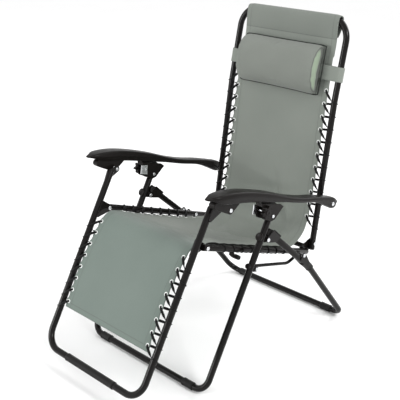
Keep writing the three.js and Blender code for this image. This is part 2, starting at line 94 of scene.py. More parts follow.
# ---- camera: the angle the chair is seen from ----
def make_camera():
    data = bpy.data.cameras.new("camera")
    camera = placed("camera", data)
    camera.location = (1.87372, -1.87372 + SHIFT_Y * MM, 1.56428)
    toward = Vector((-0.6542, 0.6542, -0.3795))
    camera.rotation_euler = toward.to_track_quat("-Z", "Y").to_euler()
    data.lens = 74.385
    data.shift_x, data.shift_y = -0.005625, 0.03425
    bpy.context.scene.camera = camera


# ---- side-view helpers ----
def vec(p):
    return np.array(p, float)


def normed(a):
    """A vector, or each vector of an array, scaled to length one."""
    return a / np.linalg.norm(a, axis=-1, keepdims=True)


def unit(p, q):
    return normed(vec(q) - vec(p))


def end_ways(path):
    """The directions in which a path sets out and arrives."""
    return normed(path[1] - path[0]), normed(path[-1] - path[-2])


def left(u):
    return np.array([-u[1], u[0]])


def world(x, p):
    return np.array([x, p[0] + SHIFT_Y, p[1]]) * MM


def turn(n):
    """n angles evenly round a full turn."""
    return np.arange(n) * 2 * np.pi / n


def disc(p, r, n=40):
    return [(p[0] + r * math.cos(a), p[1] + r * math.sin(a)) for a in turn(n)]


def hull(*discs):
    """The outline round several discs, each (centre, radius)."""
    pts = sorted(q for p, r in discs for q in disc(p, r))

    def chain(points):
        out = []
        for p in points:
            while len(out) > 1 and ((out[-1][0] - out[-2][0]) * (p[1] - out[-2][1])
                                    - (out[-1][1] - out[-2][1]) * (p[0] - out[-2][0])) <= 1e-9:
                out.pop()
            out.append(p)
        return out[:-1]
    return chain(pts) + chain(pts[::-1])


def lengths_along(path):
    """How far along a path each of its points lies."""
    return np.concatenate([[0], np.cumsum(np.linalg.norm(np.diff(path, axis=0), axis=1))])


def between(t, a, b, ta, tb):
    """The straight line that is a at ta and b at tb."""
    return a * (tb - t) / (tb - ta) + b * (t - ta) / (tb - ta)


def spline(points, step):
    """A centripetal Catmull-Rom curve through the points, sampled about every step."""
    pts = [vec(p) for p in points]
    pts = [2 * pts[0] - pts[1]] + pts + [2 * pts[-1] - pts[-2]]
    out = []
    for p0, p1, p2, p3 in zip(pts, pts[1:], pts[2:], pts[3:]):
        k1 = math.sqrt(np.linalg.norm(p1 - p0)) or 1e-6
        k2 = math.sqrt(np.linalg.norm(p2 - p1)) or 1e-6
        k3 = math.sqrt(np.linalg.norm(p3 - p2)) or 1e-6
        t0, t1, t2, t3 = 0, k1, k1 + k2, k1 + k2 + k3
        n = max(2, int(round(np.linalg.norm(p2 - p1) / step)))
        for i in range(n):
            t = t1 + (t2 - t1) * i / n
            a1, a2, a3 = between(t, p0, p1, t0, t1), between(t, p1, p2, t1, t2), between(t, p2, p3, t2, t3)
            b1, b2 = between(t, a1, a2, t0, t2), between(t, a2, a3, t1, t3)
            out.append(between(t, b1, b2, t1, t2))
    out.append(pts[-2])
    return np.array(out)


def rounded(points, radii, steps=12):
    """Replaces each inner corner of a 3-D polyline by an arc."""
    pts = [vec(p) for p in points]
    out = [pts[0]]
    for i in range(1, len(pts) - 1):
        p, r = pts[i], radii[i - 1] * MM
        a, b = pts[i - 1] - p, pts[i + 1] - p
        a, b = normed(a), normed(b)
        half = math.acos(float(a @ b)) / 2
        centre = p + normed(a + b) * r / math.sin(half)
        turn = math.pi - 2 * half
        axis = Vector(normed(np.cross(b, a)))
        first = Vector(p + a * r / math.tan(half) - centre)
        n = max(3, int(math.ceil(steps * turn / (math.pi / 2))))
        for k in range(n + 1):
            out.append(np.array(Matrix.Rotation(turn * k / n, 3, axis) @ first) + centre)
    out.append(pts[-1])
    return np.array(out)


# ---- mesh helpers ----
def make(name, verts, faces, uvs=None, material=None, smooth=True):
    me = bpy.data.meshes.new(name)
    me.from_pydata([tuple(map(float, v)) for v in verts], [], faces)
    if uvs is not None:
        layer = me.uv_layers.new(name="UVMap")
        loops = np.zeros(len(me.loops), np.int64)
        me.loops.foreach_get("vertex_index", loops)
        layer.data.foreach_set("uv", np.asarray(uvs, np.float32)[loops].ravel())
    me.polygons.foreach_set("use_smooth", [smooth] * len(me.polygons))
    me.update()
    if material:
        me.materials.append(material)
    return placed(name, me)


def band_faces(rows, cols, loops=False):
    """Quads between rings of cols points each; loops joins the last ring to the first."""
    def at(i, j):
        return i % rows * cols + j % cols
    return [(at(i, j), at(i, j + 1), at(i + 1, j + 1), at(i + 1, j))
            for i in range(rows if loops else rows - 1) for j in range(cols)]


def end_faces(rows, cols):
    """The two flat ends of a stack of rings."""
    return [tuple(range(cols - 1, -1, -1)), tuple((rows - 1) * cols + j for j in range(cols))]


def points_of(o):
    co = np.zeros(len(o.data.vertices) * 3)
    o.data.vertices.foreach_get("co", co)
    return co.reshape(-1, 3)


def apply_modifiers(o):
    bpy.context.view_layer.update()
    me = bpy.data.meshes.new_from_object(o.evaluated_get(bpy.context.evaluated_depsgraph_get()))
    old = o.data
    o.modifiers.clear()
    o.data = me
    bpy.data.meshes.remove(old)
    return o


def sweep_mesh(path, radii, sides=28, cap=True, start_side=None):
    """Rings of the given radii along a path: vertices, faces and (round, along) coordinates."""
    path = np.asarray(path, float)
    n = len(path)
    radii = np.broadcast_to(np.asarray(radii, float), (n,))
    seg = np.diff(path, axis=0)
    length = np.maximum(np.linalg.norm(seg, axis=1), 1e-12)
    seg = seg / length[:, None]
    tangent = np.vstack([seg[:1], seg[:-1] + seg[1:], seg[-1:]])
    tangent /= np.maximum(np.linalg.norm(tangent, axis=1), 1e-9)[:, None]
    side = vec(start_side) if start_side is not None else np.eye(3)[np.argmin(abs(tangent[0]))]
    verts, uvs = [], []
    along = np.concatenate([[0], np.cumsum(length)])
    for i in range(n):
        side = normed(side - tangent[i] * (side @ tangent[i]))
        other = np.cross(tangent[i], side)
        for j, t in enumerate(turn(sides)):
            verts.append(path[i] + radii[i] * (math.cos(t) * side + math.sin(t) * other))
            uvs.append((min(j, sides - j) * 2 * math.pi * radii.max() / sides, along[i]))
    return verts, band_faces(n, sides) + (end_faces(n, sides) if cap else []), uvs


def tube(name, path, r, material, sides=28, end=1.5):
    """A round bar along a path with its two ends eased."""
    path = np.asarray(path, float)
    e, r = end * MM, r * MM
    u0, u1 = end_ways(path)
    lead = [path[0], path[0] + u0 * e * 0.3, path[0] + u0 * e]
    tail = [path[-1] - u1 * e, path[-1] - u1 * e * 0.3, path[-1]]
    whole = np.vstack([lead, path[1:-1], tail])
    radii = np.full(len(whole), r)
    radii[0] = radii[-1] = r - e
    radii[1] = radii[-2] = r - 0.3 * e
    v, f, uv = sweep_mesh(whole, radii, sides)
    return make(name, v, f, uv, material)


def slab(name, outline, x0, x1, material, bevel=0.7, segments=3):
    """A plate cut from a side-view outline, from x0 to x1, with eased edges."""
    lo, hi = min(x0, x1), max(x0, x1)
    pts = [vec(p) for p in outline]
    area = sum(p[0] * q[1] - p[1] * q[0] for p, q in zip(pts, pts[1:] + pts[:1]))
    if area < 0:
        pts = pts[::-1]
    n = len(pts)
    verts = [world(lo, p) for p in pts] + [world(hi, p) for p in pts]
    o = make(name, verts, end_faces(2, n) + band_faces(2, n), material=material)
    mod = o.modifiers.new("bevel", "BEVEL")
    mod.width, mod.segments, mod.limit_method = bevel * MM, segments, "ANGLE"
    mod.angle_limit, mod.harden_normals = math.radians(30), True
    return apply_modifiers(o)


def turned(name, rings, a, b, material, sides=32):
    """A closed turned piece: each ring is (centre, radius), a circle in the plane of a and b."""
    t = turn(sides)[:, None]
    circle = np.cos(t) * np.array(a) + np.sin(t) * np.array(b)
    verts = [p for centre, r in rings for p in centre + r * MM * circle]
    faces = band_faces(len(rings), sides) + end_faces(len(rings), sides)
    return make(name, verts, faces, material=material)


def lathe(name, p, profile, material, sides=32):
    """A turned piece about the X axis through side-view point p; profile is (x, radius)."""
    return turned(name, [(world(x, p), r) for x, r in profile], (0, 1, 0), (0, 0, 1), material, sides)


def joined(name, pieces):
    """Joins several meshes into one piece with one name."""
    bpy.context.view_layer.update()
    with bpy.context.temp_override(active_object=pieces[0], selected_editable_objects=pieces,
                                   selected_objects=pieces):
        if len(pieces) > 1:
            bpy.ops.object.join()
    pieces[0].name = name
    pieces[0].data.name = name
    return pieces[0]


def stands_for(o, *nodes):
    """The piece rides on its CAD node's body and is shown in place of it."""
    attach(o, BODY[nodes[0]])
    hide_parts(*nodes)
    return o


# ---- materials ----
class Nodes:
    """A short way to write a node tree."""

    def __init__(self, name, **sockets):
        self.material = bpy.data.materials.new(name)
        self.material.use_nodes = True
        self.tree = self.material.node_tree
        self.shader = self.tree.nodes["Principled BSDF"]
        for key, value in sockets.items():
            self.shader.inputs[key.replace("_", " ")].default_value = value

    def node(self, kind, **settings):
        n = self.tree.nodes.new(kind)
        for key, value in settings.items():
            setattr(n, key, value)
        return n

    def link(self, a, b):
        self.tree.links.new(a, b)

    def put(self, socket, value):
        if hasattr(value, "is_output"):
            self.link(value, socket)
        elif value is not None:
            socket.default_value = value

    def coords(self, kind="Object"):
        return self.node("ShaderNodeTexCoord").outputs[kind]

    def noise(self, vector, scale, detail=3.0, rough=0.5):
        n = self.node("ShaderNodeTexNoise")
        self.link(vector, n.inputs["Vector"])
        for key, v in (("Scale", scale), ("Detail", detail), ("Roughness", rough)):
            n.inputs[key].default_value = v
        return n.outputs["Fac"]

    def math(self, op, a, b=None):
        n = self.node("ShaderNodeMath", operation=op)
        self.put(n.inputs[0], a)
        self.put(n.inputs[1], b)
        return n.outputs[0]

    def times(self, a, b):
        return self.math("MULTIPLY", a, b)

    def size(self, a):
        return self.math("ABSOLUTE", a)

    def ranged(self, value, low, high, to_low=0.0, to_high=1.0):
        n = self.node("ShaderNodeMapRange")
        self.link(value, n.inputs["Value"])
        for key, v in (("From Min", low), ("From Max", high), ("To Min", to_low), ("To Max", to_high)):
            n.inputs[key].default_value = v
        return n.outputs["Result"]

    def mix(self, factor, a, b):
        n = self.node("ShaderNodeMix", data_type="RGBA")
        self.put(n.inputs["Factor"], factor)
        self.put(n.inputs["A"], a if hasattr(a, "is_output") else (*a, 1.0))
        self.put(n.inputs["B"], b if hasattr(b, "is_output") else (*b, 1.0))
        return n.outputs["Result"]

    def bump(self, height, strength, distance):
        n = self.node("ShaderNodeBump")
        self.link(height, n.inputs["Height"])
        n.inputs["Strength"].default_value = strength
        n.inputs["Distance"].default_value = distance
        self.link(n.outputs["Normal"], self.shader.inputs["Normal"])

    def colour(self, value):
        self.link(value, self.shader.inputs["Base Color"])

    def roughness(self, value):
        self.link(value, self.shader.inputs["Roughness"])


def powder_coat():
    m = Nodes("powder_coat", Specular_IOR_Level=0.16)
    at = m.coords()
    broad, fine = m.noise(at, 9.0), m.noise(at, 900.0, 2.0)
    scuff = m.ranged(m.noise(at, 60.0, 6.0, 0.7), 0.66, 0.74)
    coat = m.mix(broad, (0.0035, 0.003, 0.0029), (0.0065, 0.0056, 0.0052))
    m.colour(m.mix(m.times(scuff, 0.25), coat, (0.02, 0.018, 0.017)))
    m.roughness(m.math("ADD", m.ranged(broad, 0.3, 0.7, 0.17, 0.24), m.times(scuff, 0.12)))
    m.bump(fine, 0.18, 0.00012)
    return m.material


def moulded_plastic(name, low, high, shine):
    m = Nodes(name, Specular_IOR_Level=0.11)
    at = m.coords()
    grain = m.node("ShaderNodeTexVoronoi")
    m.link(at, grain.inputs["Vector"])
    grain.inputs["Scale"].default_value = 1400.0
    broad = m.noise(at, 14.0, 4.0)
    m.colour(m.mix(broad, low, high))
    m.roughness(m.ranged(m.noise(at, 45.0), 0.3, 0.7, *shine))
    m.bump(grain.outputs["Distance"], 0.22, 0.00012)
    return m.material


def speckled(name, low, high, tone, shine, relief, **sockets):
    """A plain material. Its colour, roughness and fine relief each follow a noise, and tone, shine and
    relief each begin with that noise's scale and detail."""
    m = Nodes(name, **sockets)
    at = m.coords()
    m.colour(m.mix(m.noise(at, *tone), low, high))
    m.roughness(m.ranged(m.noise(at, *shine[:2]), 0.3, 0.7, *shine[2:]))
    m.bump(m.noise(at, *relief[:2]), *relief[2:])
    return m.material


def textilene(name, low, high, along=None, pitch=1.3, seam=None):
    """Coated yarn in a plain weave, laid out on the sheet's own lengths, or where along is given on the
    piece's own X and that direction. seam is how far up the sling the head pocket is sewn."""
    m = Nodes(name, Specular_IOR_Level=0.28)
    m.shader.inputs["Sheen Weight"].default_value = 0.12
    m.shader.inputs["Sheen Roughness"].default_value = 0.6
    at = m.coords()
    split = m.node("ShaderNodeSeparateXYZ")
    if along is None:
        m.link(m.coords("UV"), split.inputs[0])
        u, v = split.outputs["X"], split.outputs["Y"]
    else:
        dot = m.node("ShaderNodeVectorMath", operation="DOT_PRODUCT")
        m.link(at, dot.inputs[0])
        dot.inputs[1].default_value = along
        m.link(at, split.inputs[0])
        u, v = split.outputs["X"], dot.outputs["Value"]
    k = 2 * math.pi / (pitch * MM)
    su = m.math("SINE", m.times(u, k / 2))
    sv = m.math("SINE", m.times(v, k / 2))
    over = m.ranged(m.times(su, sv), -1.0, 1.0)
    hollow = m.times(m.size(su), m.size(sv))
    height = m.math("ADD", m.times(over, 0.5), m.times(hollow, 0.5))
    # single yarns differ slightly, and the cloth has broad soft patches
    stretch = m.node("ShaderNodeCombineXYZ")
    m.link(m.times(u, 900.0), stretch.inputs["X"])
    m.link(m.times(v, 25.0), stretch.inputs["Y"])
    yarn = m.noise(stretch.outputs[0], 1.0, 2.0)
    broad = m.noise(at, 5.0, 3.0)
    tone = m.math("ADD", m.times(yarn, 0.45), m.times(broad, 0.55))
    mottle = m.ranged(tone, 0.3, 0.7)
    cloth = m.mix(mottle, low, high)
    if seam:
        # painted shade: the footrest is coloured darker and bluer than the back, for the light falling on it
        cloth = m.mix(m.ranged(v, 0.34, 0.52), m.mix(mottle, FOOT_SHADE_LOW, FOOT_SHADE_HIGH), cloth)
    # painted shade: the weave's hollows are coloured darker, for the shade between the yarns
    weave_hollow_shade = tuple(c * 0.62 for c in low)
    base = m.mix(m.ranged(height, 0.05, 0.5), weave_hollow_shade, cloth)

    def line(value, place, half):
        return m.math("LESS_THAN", m.size(m.math("SUBTRACT", value, place)), half)

    def dash(value):
        return m.math("GREATER_THAN", m.math("SINE", m.times(value, 1100.0)), -0.6)
    if along is not None:
        # the cushion's end panels are coloured lighter and greener, and a line of painted shade runs in the
        # seam round each
        out = m.size(u)
        end = m.ranged(out, END_PANEL, END_PANEL + 0.002)
        base = m.mix(end, base, tuple(c * k for c, k in zip(high, (1.18, 1.36, 1.12))))
        end_seam_shade = m.times(line(out, END_PANEL - 0.001, 0.0011), 0.6)
        base = m.mix(end_seam_shade, base, tuple(c * 0.3 for c in low))
    if seam:
        # the head pocket is doubled cloth, and is coloured darker as painted shade to tone down the stronger
        # light up there
        pocket_shade = m.times(m.math("GREATER_THAN", v, seam), 0.3)
        base = m.mix(pocket_shade, base, tuple(c * 0.45 for c in low))
        # lock-stitched hems down each side and at the foot, and a seam below the head pocket
        sides = m.times(line(m.size(u), SIDE_HEM, 0.0009), dash(v))
        cuff = m.math("MAXIMUM", line(v, seam, 0.0013), line(v, FOOT_HEM, 0.0013))
        thread = m.math("MAXIMUM", sides, m.times(cuff, dash(u)))
        base = m.mix(m.times(thread, 0.75), base, tuple(c * 0.4 for c in low))
        height = m.math("SUBTRACT", height, m.times(thread, 1.5))
    m.colour(base)
    m.roughness(m.ranged(height, 0.0, 1.0, 0.88, 0.66))
    m.bump(height, 0.35, 0.0003)
    return m.material


def braid():
    m = Nodes("elastic_braid", Specular_IOR_Level=0.15)
    split = m.node("ShaderNodeSeparateXYZ")
    m.link(m.coords("UV"), split.inputs[0])
    u, v = split.outputs["X"], split.outputs["Y"]
    k = 2 * math.pi / 0.0028
    a = m.math("SINE", m.times(m.math("ADD", u, v), k))
    b = m.math("SINE", m.times(m.math("SUBTRACT", u, v), k))
    height = m.size(m.times(a, b))
    # painted shade: the braid's hollows are coloured darker than its raised strands
    m.colour(m.mix(height, (0.002, 0.002, 0.002), (0.007, 0.007, 0.007)))
    m.roughness(m.ranged(m.noise(m.coords(), 300.0), 0.3, 0.7, 0.6, 0.8))
    m.bump(height, 0.5, 0.0004)
    return m.material


COAT = powder_coat()
PLASTIC = moulded_plastic("moulded_plastic", (0.005, 0.0041, 0.0038), (0.0085, 0.007, 0.0065), (0.3, 0.42))
SLEEVE = moulded_plastic("sleeve_plastic", (0.0085, 0.008, 0.0078), (0.016, 0.0155, 0.015), (0.4, 0.52))
RUBBER = speckled("rubber", (0.005, 0.005, 0.005), (0.012, 0.0115, 0.011), (30.0, 4.0),
                  (80.0, 3.0, 0.5, 0.68), (1500.0, 2.0, 0.25, 0.0001), Specular_IOR_Level=0.22)
ZINC = speckled("zinc_plate", (0.52, 0.53, 0.55), (0.72, 0.73, 0.74), (120.0, 4.0),
                (260.0, 4.0, 0.24, 0.4), (900.0, 2.0, 0.1, 0.0001), Metallic=1.0)
EYELET = speckled("eyelet_nickel", (0.66, 0.68, 0.66), (0.82, 0.84, 0.82), (200.0, 3.0),
                  (400.0, 3.0, 0.25, 0.38), (700.0, 3.0, 0.1, 0.0001), Metallic=0.35)
SAGE_LOW, SAGE_HIGH = (0.18, 0.2, 0.177), (0.218, 0.238, 0.211)
# painted shade: darker, bluer copies of the cloth colours, standing in for the light on the footrest
FOOT_SHADE_LOW, FOOT_SHADE_HIGH = (0.112, 0.149, 0.13), (0.137, 0.176, 0.155)
PILLOW_LOW, PILLOW_HIGH = (0.152, 0.166, 0.147), (0.184, 0.199, 0.177)
# sewing lines in metres: from the sling's middle, from its lower end, and from the cushion's middle
SIDE_HEM, FOOT_HEM, END_PANEL = 0.186, 0.018, 0.1725
CUSHION = textilene("textilene_pillow", PILLOW_LOW, PILLOW_HIGH, along=(0.0, 0.35, 0.94))
STRAP = textilene("textilene_strap", SAGE_LOW, SAGE_HIGH)
ELASTIC = braid()
# painted shade: the piping is near black, standing in for the shade along the cushion's back edge
PIPING_SHADE = speckled("pillow_piping_shade", (0.007, 0.009, 0.007), (0.014, 0.017, 0.014), (220.0, 3.0),
                  (500.0, 3.0, 0.6, 0.8), (1200.0, 3.0, 0.3, 0.0002), Specular_IOR_Level=0.3)

# ---- leg geometry that several pieces share ----
leg_u = unit(FRONT_FLOOR, LEG_TOP)
leg_back = np.array([leg_u[1], -leg_u[0]])
rear_u, low_u = unit(REAR_TOP, REAR_KNEE), unit(REAR_KNEE, REAR_FLOOR)
rail_u = unit(RAIL_FRONT, RAIL_REAR)
foot_u = unit(FOOT_TOP, FOOT_BAR)
back_low, back_high = unit(BACK_FOOT, BACK_BEND), unit(BACK_BEND, BACK_TOP)
slot_a = vec((-119, 634))
slot_u = unit((-119, 634), (247, 532))


def off(origin, u, a, b):
    """a along u and b to its left, from a side-view point."""
    return vec(origin) + u * a + left(u) * b


def bolt_at(p):
    return vec(FRONT_FLOOR) + leg_u * float((vec(p) - vec(FRONT_FLOOR)) @ leg_u)


def u_frame(node, top, bottom, x, r, middle=None):
    """One tube bent into a U: down one side, across and up the other, with r its two corners."""
    side = [top] + ([middle] if middle is not None else []) + [bottom]
    pts = [world(x, p) for p in side] + [world(-x, p) for p in side[::-1]]
    radii = ([KNEE_R] if middle is not None else []) + [r, r] + ([KNEE_R] if middle is not None else [])
    return stands_for(tube(node + "_tube", rounded(pts, radii), TUBE_R, COAT, 32), node)


def sleeve(name, path, r, material, lip=0.0):
    """A moulded sleeve round a tube, with softly rounded ends."""
    path = np.asarray(path, float)
    u0, u1 = end_ways(path)
    lips = [(0.0, TUBE_R + 0.2), (0.02, r - 1.2), (0.35, r - 0.35),
            (1.2, r + lip), (5.0, r + lip), (6.0, r)]
    pts = [path[0] + u0 * d * MM for d, _ in lips] + list(path[1:-1])
    pts += [path[-1] - u1 * d * MM for d, _ in lips[::-1]]
    radii = [q for _, q in lips] + [r] * (len(path) - 2) + [q for _, q in lips[::-1]]
    v, f, uv = sweep_mesh(pts, np.array(radii) * MM, 32, cap=False)
    return make(name, v, f, uv, material)


def rivet(node, p, x0, x1, r=7.0):
    """Two domed heads on one shank, from x0 to x1."""
    lo, hi = min(x0, x1), max(x0, x1)
    dome = [(0.0, 0.4), (0.15, r * 0.35), (0.55, r * 0.65), (1.15, r * 0.86), (1.9, r * 0.98), (2.4, r),
            (2.6, r - 0.2)]
    profile = [(lo + d, q) for d, q in dome] + [(lo + 2.6, 3.5), (hi - 2.6, 3.5)]
    profile += [(hi - d, q) for d, q in dome[::-1]]
    return stands_for(lathe(node + "_turned", p, profile, ZINC, 28), node)


def build_frames():
    u_frame("front_leg_frame", LEG_TOP, FRONT_FLOOR, LEG_X, 45)
    u_frame("rear_leg_frame", REAR_TOP, REAR_FLOOR, LEG_X, 45, REAR_KNEE)
    u_frame("back_frame", BACK_FOOT, BACK_TOP, FRAME_X, 72, BACK_BEND)
    u_frame("foot_frame", FOOT_TOP, FOOT_BAR, FRAME_X, 62)
    for side, s in SIDES:
        outline = hull((B, 11), (off(FOOT_TOP, foot_u, 8, 3), 8), (off(FOOT_TOP, foot_u, 40, 3), 5))
        lug = slab(f"foot_lug_{side}", outline, s * 250.2, s * 255, COAT)
        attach(lug, BODY["foot_frame"])
        profile = ((252, 6), (248.4, 6), (247.6, 5.4), (247.2, 3.5), (247.1, 0.3))
        button = lathe(f"foot_lug_button_{side}", B, [(s * a, r) for a, r in profile], ZINC)
        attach(button, BODY["foot_frame"])
    for side, s in SIDES:
        ends = [world(s * FRAME_X, RAIL_FRONT), world(s * FRAME_X, RAIL_REAR)]
        rail = tube(f"seat_rail_{side}_tube", ends, TUBE_R, COAT, 32)
        stands_for(rail, f"seat_rail_{side}")
        for end, p in (("front", FRONT_FLOOR), ("rear", REAR_FLOOR)):
            path = [world(s * x, p) for x in (189, 212, 235)]
            pad = sleeve(f"{end}_floor_pad_{side}", path, FLOOR_Z, RUBBER, 0.4)
            stands_for(pad, f"{end}_floor_sleeve_{side}")
    path = [world(x, FOOT_BAR) for x in np.linspace(-121, 121, 9)]
    grip = sleeve("foot_bar_grip", path, 13.0, SLEEVE, 0.3)
    stands_for(grip, "foot_bar_sleeve")


# the open hook at the end of each brace, measured from the bolt it rests on
HOOK = [(-22, -20), (4, -13), (9, -11), (10, -5), (9.5, 3), (5, 3),
        (4.6, -3), (0, -4.8), (-5, -4), (-7, 2), (-11, 2), (-12, -7)]


def pair(name, outline, x, near, far, material, bevel):
    """Two matching plates, each from near to far out from x."""
    return [slab(f"{name}_{k}", outline, x + k * near, x + k * far, material, bevel) for k in (-1, 1)]


def hinge_cap(name, x, c, radius, length):
    """A turned cap on the front of the leg, its axis square to the leg."""
    tip = -TUBE_R - 0.3 - length
    profile = [(-TUBE_R + 1.0, radius), (tip + 2.2, radius), (tip + 0.7, radius - 1.0),
               (tip, radius - 3.0), (tip + 0.8, radius - 4.5), (tip + 0.8, 0.4)]
    rings = [(world(x, c + leg_back * d), r) for d, r in profile]
    return turned(name, rings, (1, 0, 0), (0, *leg_u), PLASTIC)


def hinge_blocks(side, s, x):
    """The moulded blocks on the front legs, and the pin the brace turns on."""
    for node, p, radius, length in (("leg_hinge_block", P1, 14, 6), ("brace_hinge_block", P2, 9, 10)):
        c = bolt_at(p)
        face = c + leg_back * (TUBE_R + 0.2)
        outline = hull((face + leg_u * 10, 1.5), (face - leg_u * 10, 1.5), (p, 8.5))
        lug = slab(f"{node}_{side}_lug", outline, x - 9.5, x + 9.5, PLASTIC, 1.0)
        cap = hinge_cap(f"{node}_{side}_cap", x, c, radius, length)
        stands_for(joined(f"{node}_{side}_block", [lug, cap]), f"{node}_{side}")
    profile = ((257.5, 0.4), (257.6, 3.2), (258.2, 5.2), (259.2, 6.3), (260.4, 6.5), (260.4, 3.5),
               (296.0, 3.5), (296.0, 6.0), (297.2, 5.8), (298.2, 4.4), (298.6, 0.4))
    pin = lathe(f"brace_pin_{side}", P2, [(s * a, r) for a, r in profile], ZINC)
    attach(pin, "front_legs")


def rear_leg_fittings(side, x):
    """The fork at the top of the rear leg, and the sleeve over its knee with two cheeks."""
    def q(a, b):
        return off(REAR_TOP, rear_u, a, b)
    cheeks = pair(f"fork_{side}", hull((P1, 9), (q(4, 12), 4), (q(46, 12), 3), (q(40, -11), 2)),
                  x, 11.4, 14.2, COAT, 0.6)
    outline = [q(6, 11.4), q(46, 11.4), q(46, 14.6), q(6, 14.6)]
    web = slab(f"fork_{side}_web", outline, x - 14.2, x + 14.2, COAT, 0.8)
    stands_for(joined(f"rear_leg_fork_{side}_plates", cheeks + [web]), f"rear_leg_fork_{side}")
    rivet(f"leg_hinge_rivet_{side}", P1, x - 17.4, x + 17.4)
    knee_in, knee_out = vec(REAR_KNEE) - rear_u * 46, vec(REAR_KNEE) + low_u * 12
    spine = rounded([world(x, knee_in), world(x, REAR_KNEE), world(x, knee_out)], [KNEE_R])
    knee = sleeve(f"knee_{side}", spine, 14.2, SLEEVE, 0.3)
    rise = vec(P3) - left(rear_u) * 15
    outline = hull((P3, 9.5), (rise + rear_u * 2, 8), (vec(REAR_KNEE) - rear_u * 30, 11))
    cheeks = pair(f"knee_{side}", outline, x, 12.2, 15, SLEEVE, 0.6)
    stands_for(joined(f"rear_leg_knee_{side}_sleeve", [knee] + cheeks), f"rear_leg_knee_{side}")


def brace(side, x):
    """A bent bar from its eye on the front leg to the open hook."""
    bend, tip = (150, 327), (182, 336)
    down = unit(P2, bend)
    path = [world(x, vec(P2) + down * 12), world(x, bend), world(x, tip)]
    bar = tube(f"brace_{side}_bar", rounded(path, [40]), 5.5, COAT, 20)
    outline = hull((P2, 9), (vec(P2) + down * 18, 5))
    eye = slab(f"brace_{side}_eye", outline, x - 3, x + 3, COAT)
    outline = [vec(P3) + vec(d) for d in HOOK]
    hook = slab(f"brace_{side}_hook", outline, x - 3, x + 3, COAT, 0.6)
    stands_for(joined(f"brace_{side}_bent", [bar, eye, hook]), f"brace_{side}")


def seat_fittings(side, s, x):
    """The rivets of the seat and armrest, the rubber stop on the rail and the gusset at the foot."""
    for name, p, near, far in (("seat_pivot", P3, 225.6, 304.4), ("back_hinge", D, 221.6, 254.4),
                               ("armrest_rear", C, 225.6, 303.4), ("foot_hinge", A, 221.6, 254.4),
                               ("armrest_front", B, 263, 294)):
        rivet(f"{name}_rivet_{side}", p, s * near, s * far)
    rivet(f"slide_rivet_{side}", T0, x - 17.6, x + 17.6, 6.0)
    rail_x = s * FRAME_X

    def q(a, b):
        return off(RAIL_FRONT, rail_u, a, b)
    outline = [q(135, -10.6), q(135, -21), q(150, -29), q(164, -33), q(176, -34), q(182, -26),
               q(160, -21), q(153, -10.6)]
    lug = slab(f"stop_{side}_lug", outline, rail_x - 3, rail_x + 3, PLASTIC, 1.0)
    half = ((-11, 0.4), (-11, 5.8), (-9.8, 7.3), (-8, 7.6))
    profile = half + tuple((-a, r) for a, r in half[::-1])
    bumper = lathe(f"stop_{side}_bumper", q(176, -27.5), [(rail_x + a, r) for a, r in profile], RUBBER)
    stands_for(joined(f"rail_stop_{side}_moulded", [lug, bumper]), f"rail_stop_{side}")
    outline = hull((A, 11), (off(FOOT_TOP, foot_u, 112, 3), 5), (off(FOOT_TOP, foot_u, 162, 3), 5))
    gusset = slab(f"foot_gusset_{side}_plate", outline, s * 225, s * 228.7, COAT, 0.7)
    stands_for(gusset, f"foot_gusset_{side}")


def build_hinges():
    for side, s in SIDES:
        hinge_blocks(side, s, s * LEG_X)
        rear_leg_fittings(side, s * LEG_X)
        brace(side, s * LINK_X)
        seat_fittings(side, s, s * LEG_X)
    bar = tube("seat_cross_bar", [world(x, (303, 326)) for x in (-226, 0, 226)], 9, COAT, 24)
    outline = hull((D, 14), ((306, 322), 13), ((262, 328), 8))
    ears = [slab(f"bracket_ear_{s}", outline, s * 225, s * 228.7, COAT) for s in (1, -1)]
    stands_for(joined("seat_rear_bracket_welded", [bar] + ears), "seat_rear_bracket")


# ---- armrests, slides and knobs ----
# (along the chair, height) of the top and underside, then (along the chair, from the middle) of the two sides
ARM_TOP = [(-266, 682), (-242, 688), (-215, 689), (-160, 683), (-100, 669), (0, 637),
           (105, 595), (180, 571), (250, 554), (320, 534), (358, 521), (382, 503)]
ARM_UNDER = [(-266, 677), (-252, 673), (-236, 666), (-214, 654), (-190, 648), (-119, 634), (-20, 608),
             (75, 582), (160, 556), (247, 532), (320, 496), (346, 482), (368, 481), (382, 494)]
ARM_IN = [(-266, 276), (-250, 268), (-238, 262), (-180, 258), (-60, 259), (100, 259), (240, 259),
          (330, 262), (360, 264), (382, 270)]
ARM_OUT = [(-266, 292), (-250, 300), (-238, 309), (-180, 314), (-60, 312), (100, 310), (240, 308),
           (330, 302), (360, 300), (382, 292)]


def curve_of(points):
    c = spline(points, 2.0)
    return lambda y: float(np.interp(y, c[:, 0], c[:, 1]))


